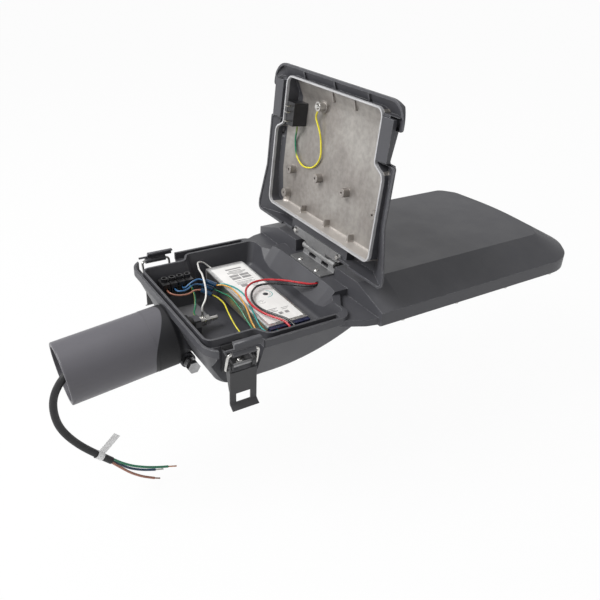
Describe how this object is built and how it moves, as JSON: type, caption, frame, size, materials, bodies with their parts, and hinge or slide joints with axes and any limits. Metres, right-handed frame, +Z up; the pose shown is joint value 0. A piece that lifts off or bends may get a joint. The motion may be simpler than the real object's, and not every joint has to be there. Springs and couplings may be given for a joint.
{
  "type": "led street light head",
  "caption": "Die cast LED street light head with a tilted pole spigot, a gear tray shown open under a hinged lid, over-centre latches and a hipped lamp housing.",
  "frame": {"origin": "middle of the spigot's mouth, where the pole end enters", "axes": "+X out to the head's tip, +Z up when the head hangs level on its pole, +Y across the head"},
  "size_m": [0.6948, 0.276, 0.4644],
  "materials": {
    "black_plastic": "black moulded plastic",
    "board_white": "white solder mask on aluminium",
    "brass": "plain brass",
    "cable_sheath": "black rubber cable sheath",
    "casting_paint": "dark grey powder coat, fine texture, satin",
    "copper": "bare copper ends",
    "driver_caps": "navy moulded plastic",
    "driver_label": "off-white film, bare",
    "driver_shell": "bright folded metal",
    "gasket_rubber": "black silicone foam",
    "glass": "tempered flat glass",
    "latch_paint": "dark grey painted sheet steel",
    "lens_clear": "clear moulded lenses over yellow emitters",
    "spigot_paint": "grey powder coat, satin",
    "stainless": "bright stainless steel",
    "tag_white": "pale wrapped tag, bare",
    "wire_black": "black insulation",
    "wire_blue": "blue insulation",
    "wire_brown": "brown insulation",
    "wire_earth": "green and yellow insulation",
    "wire_green": "green insulation",
    "wire_orange": "orange insulation",
    "wire_red": "red insulation",
    "wire_teal": "teal insulation",
    "wire_white": "white insulation",
    "wire_yellow": "yellow insulation"
  },
  "bodies": {
    "head": {"cable_gland": "black_plastic", "cable_tag": "tag_white", "core_blue": "wire_blue", "core_brown": "wire_brown", "core_ends": "copper", "core_green": "wire_green", "cover_glass": "glass", "driver_case": "driver_shell", "driver_end_caps": "driver_caps", "driver_label": "driver_label", "driver_screws": "stainless", "earth_bolt": "stainless", "earth_lugs": "stainless", "earth_washers": "stainless", "frame_screws": "stainless", "glass_frame": "casting_paint", "glass_seal": "gasket_rubber", "hinge_pin": "stainless", "hinge_rivets": "stainless", "hinge_tray_leaf": "stainless", "housing": "casting_paint", "lamp_board": "board_white", "lamp_lenses": "lens_clear", "latch_base_far": "latch_paint", "latch_base_near": "latch_paint", "latch_pins": "stainless", "latch_rivets": "stainless", "lead_grommet": "black_plastic", "pole_spigot": "spigot_paint", "spigot_locknuts": "stainless", "spigot_screws": "stainless", "supply_cable": "cable_sheath", "terminal_block": "black_plastic", "terminal_screws": "brass", "wire_black": "wire_black", "wire_blue": "wire_blue", "wire_brown": "wire_brown", "wire_earth": "wire_earth", "wire_green": "wire_green", "wire_orange": "wire_orange", "wire_red": "wire_red", "wire_splices": "wire_blue", "wire_teal": "wire_teal", "wire_white": "wire_white", "wire_yellow": "wire_yellow"},
    "lid": {"door_switch": "black_plastic", "hinge_lid_leaf": "stainless", "hinge_lid_screws": "stainless", "lid": "casting_paint", "lid_earth_post": "brass", "lid_earth_screw": "stainless", "lid_earth_wire": "wire_earth", "lid_gasket": "gasket_rubber", "switch_blades": "brass"},
    "lever_near": {"latch_lever_near": "latch_paint"},
    "bail_near": {"latch_bail_near": "stainless"},
    "claw_near": {"latch_claw_near": "latch_paint"},
    "lever_far": {"latch_lever_far": "latch_paint"},
    "bail_far": {"latch_bail_far": "stainless"},
    "claw_far": {"latch_claw_far": "latch_paint"}
  },
  "joints": [
    {"name": "lid_hinge", "type": "hinge", "parent": "head", "child": "lid", "pos_m": [0.3262, 0, 0.0705], "axis": [0, 1, 0], "range_deg": [-94.9, 0]},
    {"name": "lever_near_turn", "type": "hinge", "parent": "head", "child": "lever_near", "pos_m": [0.1555, -0.116, 0.033], "axis": [-1, 0, 0], "range_deg": [0, 100]},
    {"name": "bail_near_turn", "type": "hinge", "parent": "lever_near", "child": "bail_near", "pos_m": [0.1555, -0.1145, 0.0285], "axis": [1, 0, 0], "range_deg": [0, 100]},
    {"name": "claw_near_turn", "type": "hinge", "parent": "bail_near", "child": "claw_near", "pos_m": [0.1555, -0.12, 0.05], "axis": [1, 0, 0], "range_deg": [-18, 90]},
    {"name": "lever_far_turn", "type": "hinge", "parent": "head", "child": "lever_far", "pos_m": [0.1555, 0.116, 0.033], "axis": [1, 0, 0], "range_deg": [0, 100]},
    {"name": "bail_far_turn", "type": "hinge", "parent": "lever_far", "child": "bail_far", "pos_m": [0.1555, 0.1145, 0.0285], "axis": [-1, 0, 0], "range_deg": [0, 100]},
    {"name": "claw_far_turn", "type": "hinge", "parent": "bail_far", "child": "claw_far", "pos_m": [0.1555, 0.12, 0.05], "axis": [-1, 0, 0], "range_deg": [-18, 90]}
  ],
  "couplings": [
    {"joint": "bail_near_turn", "follows": "lever_near_turn", "ratio": 1},
    {"joint": "bail_far_turn", "follows": "lever_far_turn", "ratio": 1}
  ]
}
